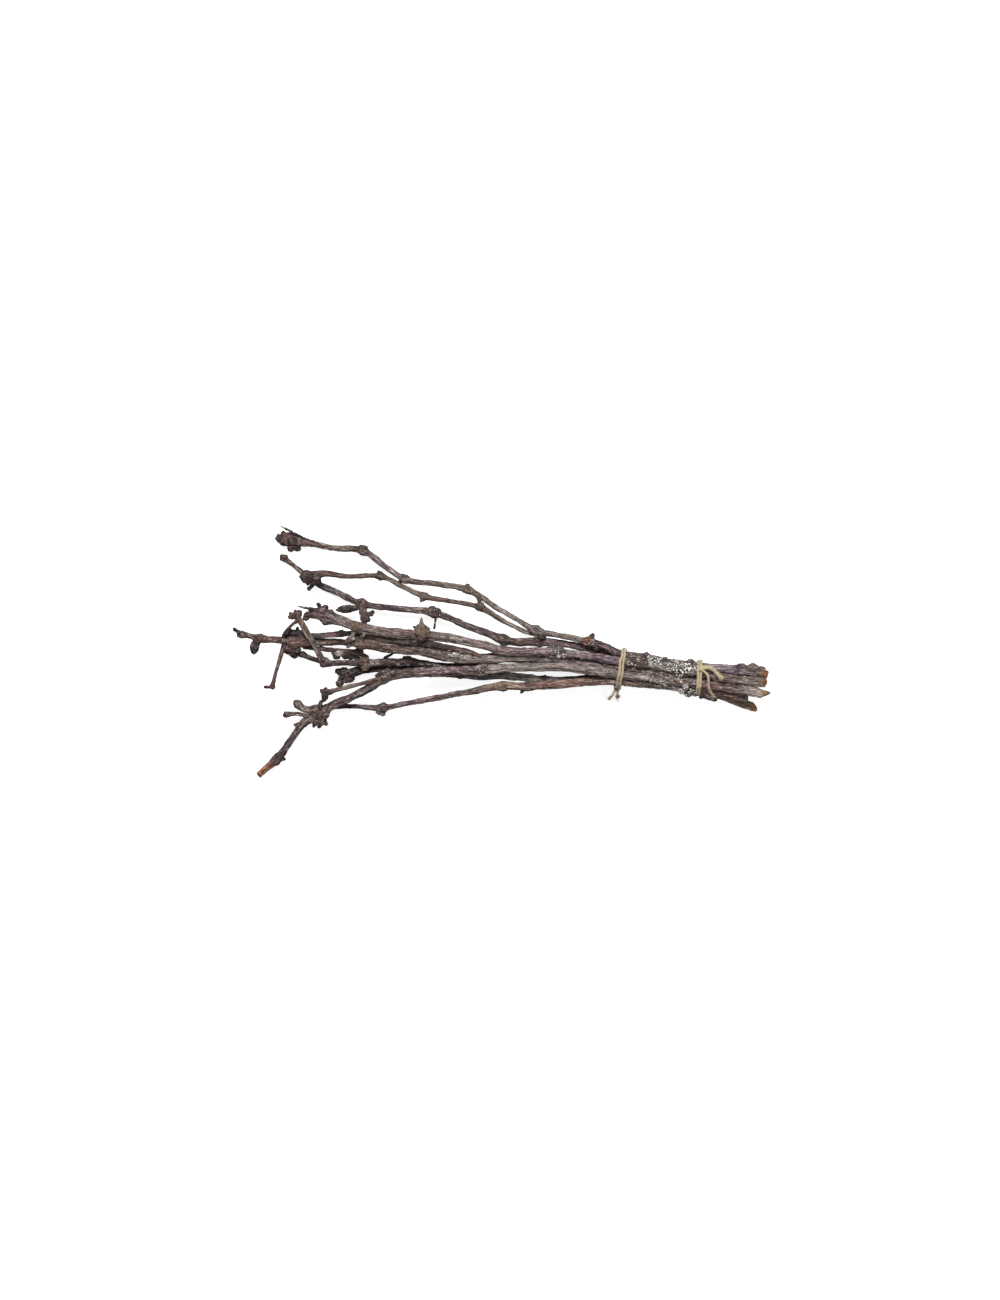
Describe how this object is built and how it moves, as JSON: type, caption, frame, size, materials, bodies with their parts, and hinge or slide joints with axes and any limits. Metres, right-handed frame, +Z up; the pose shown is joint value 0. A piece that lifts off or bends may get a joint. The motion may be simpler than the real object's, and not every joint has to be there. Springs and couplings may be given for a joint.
{
  "type": "bundle of twigs",
  "caption": "Loose bundle of dry, knotted fruit-tree twigs tied side by side with jute twine, cut ends together and branching tips fanned out; a natural prop that lies flat.",
  "frame": {"origin": "on the surface that the bundle lies on, under the middle of its bounding box", "axes": "+X towards the cut ends, -X towards the fanned tips, +Z up from the surface"},
  "size_m": [0.2676, 0.1254, 0.0267],
  "materials": {
    "grey_bark": "dry, ridged grey-brown bark with lichen",
    "olive_bark": "smooth, thin olive-grey bark of young shoots",
    "twine": "natural twisted jute with loose fibres"
  },
  "bodies": {
    "root": {"long_upper_twig": "grey_bark", "crossing_twig": "grey_bark", "star_bud_twig": "grey_bark", "pale_spotted_twig": "grey_bark", "lower_branch": "grey_bark", "lowest_twig": "grey_bark", "slate_twig": "grey_bark", "clustered_twig": "grey_bark", "leftmost_twig": "grey_bark", "elbow_twig": "grey_bark", "long_upper_fork": "olive_bark", "pale_spotted_fork": "olive_bark", "dark_tipped_fork": "olive_bark", "lower_branch_fork": "olive_bark", "elbow_side_fork": "olive_bark", "elbow_thin_fork": "olive_bark", "pale_knob_fork": "olive_bark", "hanging_fork": "olive_bark", "front_twine_tie": "twine", "rear_twine_tie": "twine"}
  },
  "joints": []
}
